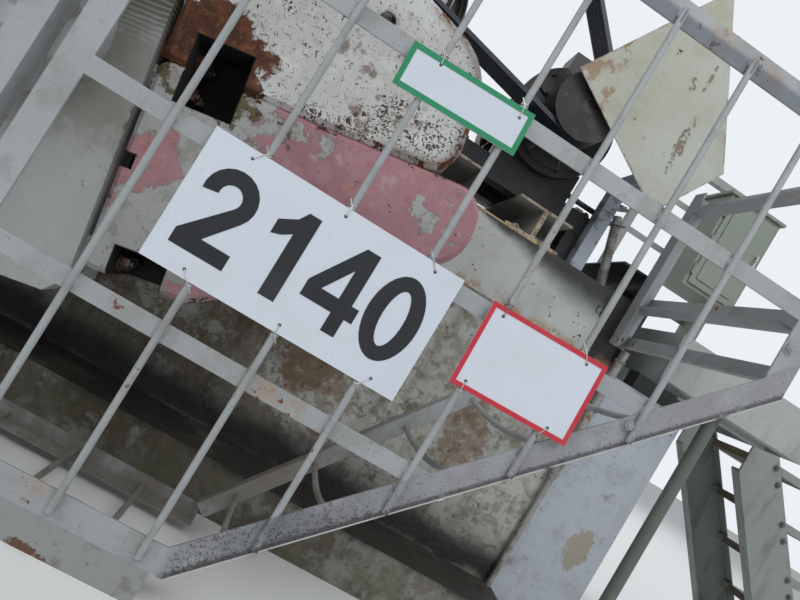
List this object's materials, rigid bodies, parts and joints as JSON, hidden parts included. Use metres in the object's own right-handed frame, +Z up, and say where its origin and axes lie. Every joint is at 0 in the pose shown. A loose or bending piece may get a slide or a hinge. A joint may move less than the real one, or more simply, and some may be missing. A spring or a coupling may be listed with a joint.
{
  "type": "pumpjack",
  "caption": "Beam pumping unit: walking beam with horsehead on a braced post, rear cranks with counterweights, gear reducer and motor, slatted crank guard and rear platform on concrete.",
  "frame": {"origin": "on the ground, in the base slab's underside, straight below the walking beam's pivot", "axes": "+X towards the well, +Y towards the side with the number plate, +Z up"},
  "size_m": [10.0252, 2.5533, 8.149],
  "materials": {
    "concrete": "rough",
    "whitewashed_concrete": "rough",
    "frame_paint": "matte",
    "post_paint": "matte",
    "beam_paint": "matte",
    "bare_steel": "satin",
    "crank_iron": "rough",
    "weight_white": "rough",
    "weight_red": "rough",
    "reducer_paint": "matte",
    "sheave_iron": "matte",
    "belt": "matte",
    "motor_black": "satin",
    "cover_cream": "matte",
    "conduit_zinc": "matte",
    "guard_paint": "matte",
    "whitewashed_wood": "rough",
    "plate_white": "gloss",
    "platform_paint": "matte",
    "cabinet_paint": "matte"
  },
  "bodies": {
    "base": {"base_slab": "concrete", "pedestals": "concrete", "rear_block": "whitewashed_concrete", "base_frame": "frame_paint", "cross_members": "frame_paint", "post_front_legs": "post_paint", "post_rear_legs": "post_paint", "post_ties": "post_paint", "post_head": "post_paint", "post_ladder": "post_paint", "saddle_bearing": "post_paint", "gear_reducer": "reducer_paint", "sheave": "sheave_iron", "brake_drum": "sheave_iron", "v_belts": "belt", "motor": "motor_black", "motor_pulley": "sheave_iron", "motor_base": "motor_black", "belt_guard": "cover_cream", "conduits": "conduit_zinc", "guard_rear_panels": "guard_paint", "guard_middle_panels": "guard_paint", "guard_front_panels": "guard_paint", "guard_end_returns": "guard_paint", "guard_inner_rails": "guard_paint", "guard_corner_braces": "guard_paint", "guard_sills": "whitewashed_wood", "number_plate": "plate_white", "green_plate": "plate_white", "red_plate": "plate_white", "platform": "platform_paint", "stair": "platform_paint", "railing": "platform_paint", "control_box": "cabinet_paint"},
    "cranks": {"crankshaft": "bare_steel", "crank_near": "crank_iron", "crank_far": "crank_iron", "crank_pins": "bare_steel", "inner_weights": "weight_white", "outer_weights": "weight_red"},
    "beam": {"walking_beam": "beam_paint", "horsehead": "beam_paint", "tail_bearing": "beam_paint"},
    "pitmans": {"equalizer": "beam_paint", "pitman_near": "beam_paint", "pitman_far": "beam_paint"}
  },
  "joints": [
    {"name": "crank_turn", "type": "hinge", "parent": "base", "child": "cranks", "pos_m": [-2.508, 0, 2.16], "axis": [0, 1, 0], "range_deg": [0, 174.42]},
    {"name": "beam_rock", "type": "hinge", "parent": "base", "child": "beam", "pos_m": [0, 0, 5.13], "axis": [0, 1, 0], "range_deg": [0, 57.75]},
    {"name": "pitman_swing", "type": "hinge", "parent": "beam", "child": "pitmans", "pos_m": [-2.19543, 0, 3.93265], "axis": [0, 1, 0], "range_deg": [-63.33, 0]}
  ],
  "couplings": [
    {"joint": "beam_rock", "follows": "crank_turn", "ratio": 0.33105},
    {"joint": "pitman_swing", "follows": "crank_turn", "ratio": -0.36304}
  ]
}
